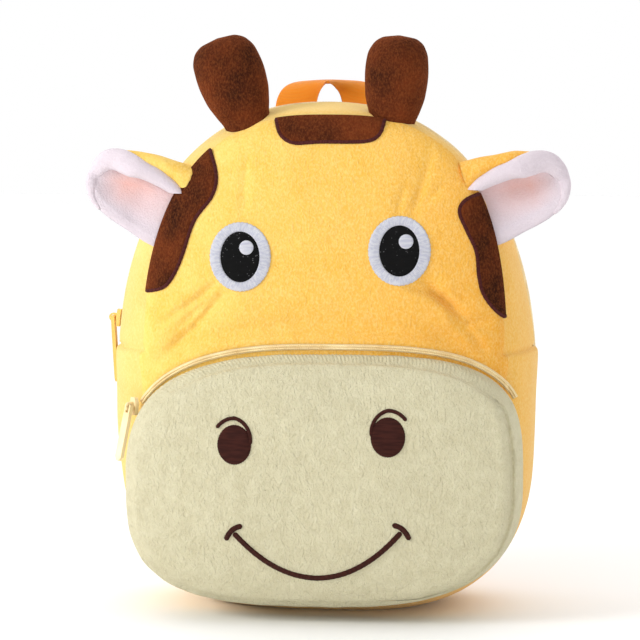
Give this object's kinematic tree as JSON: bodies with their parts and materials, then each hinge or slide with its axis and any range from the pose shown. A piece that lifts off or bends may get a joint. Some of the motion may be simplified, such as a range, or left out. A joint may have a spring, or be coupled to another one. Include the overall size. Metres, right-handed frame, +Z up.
{
  "type": "kids animal backpack",
  "caption": "Small plush backpack shaped as a giraffe face, with a zipped main compartment, a zipped muzzle pocket, ears, horns, a grab handle and shoulder straps.",
  "frame": {"origin": "on the ground, under the middle of the bag", "axes": "+X to the right as one faces the giraffe, +Y from the face towards the wearer's back, +Z up"},
  "size_m": [0.2453, 0.1635, 0.294],
  "materials": {
    "yellow_plush": "short-pile plush",
    "cream_plush": "short-pile plush",
    "brown_plush": "short-pile plush",
    "ear_lining": "short-pile plush",
    "zip_tape": "woven tape with a nylon coil",
    "zip_hardware": "moulded, satin",
    "white_thread": "satin stitch",
    "black_thread": "satin stitch",
    "brown_thread": "satin stitch",
    "orange_webbing": "woven webbing"
  },
  "bodies": {
    "bag": {"face_panel": "yellow_plush", "back_panel": "yellow_plush", "upper_band_front": "yellow_plush", "upper_band_back": "yellow_plush", "lower_band": "yellow_plush", "main_zip": "zip_tape", "main_zip_slider": "zip_hardware", "muzzle_panel": "cream_plush", "muzzle_band": "cream_plush", "muzzle_zip": "zip_tape", "muzzle_zip_slider": "zip_hardware", "spot_forehead": "brown_plush", "spot_left": "brown_plush", "spot_right": "brown_plush", "eye_white_left": "white_thread", "eye_white_right": "white_thread", "eye_pupil_left": "black_thread", "eye_pupil_right": "black_thread", "eye_glint_left": "white_thread", "eye_glint_right": "white_thread", "nostril_left": "brown_thread", "nostril_right": "brown_thread", "smile": "brown_thread", "horn_left": "brown_plush", "horn_right": "brown_plush", "ear_back_left": "yellow_plush", "ear_back_right": "yellow_plush", "ear_lining_left": "ear_lining", "ear_lining_right": "ear_lining", "grab_handle": "orange_webbing", "strap_pad_left": "yellow_plush", "strap_pad_right": "yellow_plush", "strap_webbing_left": "orange_webbing", "strap_webbing_right": "orange_webbing", "strap_buckle_left": "zip_hardware", "strap_buckle_right": "zip_hardware", "strap_anchor_left": "yellow_plush", "strap_anchor_right": "yellow_plush"},
    "main_zip_pull": {"main_zip_pull": "zip_hardware"},
    "muzzle_zip_pull": {"muzzle_zip_pull": "zip_hardware"}
  },
  "joints": [
    {"name": "main_zip_pull_swing", "type": "hinge", "parent": "bag", "child": "main_zip_pull", "pos_m": [-0.1119, 0, 0.148], "axis": [0, 1, 0], "range_deg": [0, 150]},
    {"name": "muzzle_zip_pull_swing", "type": "hinge", "parent": "bag", "child": "muzzle_zip_pull", "pos_m": [-0.09604, -0.04422, 0.10629], "axis": [-0.6222, 0.7828, 0], "range_deg": [0, 150]}
  ]
}
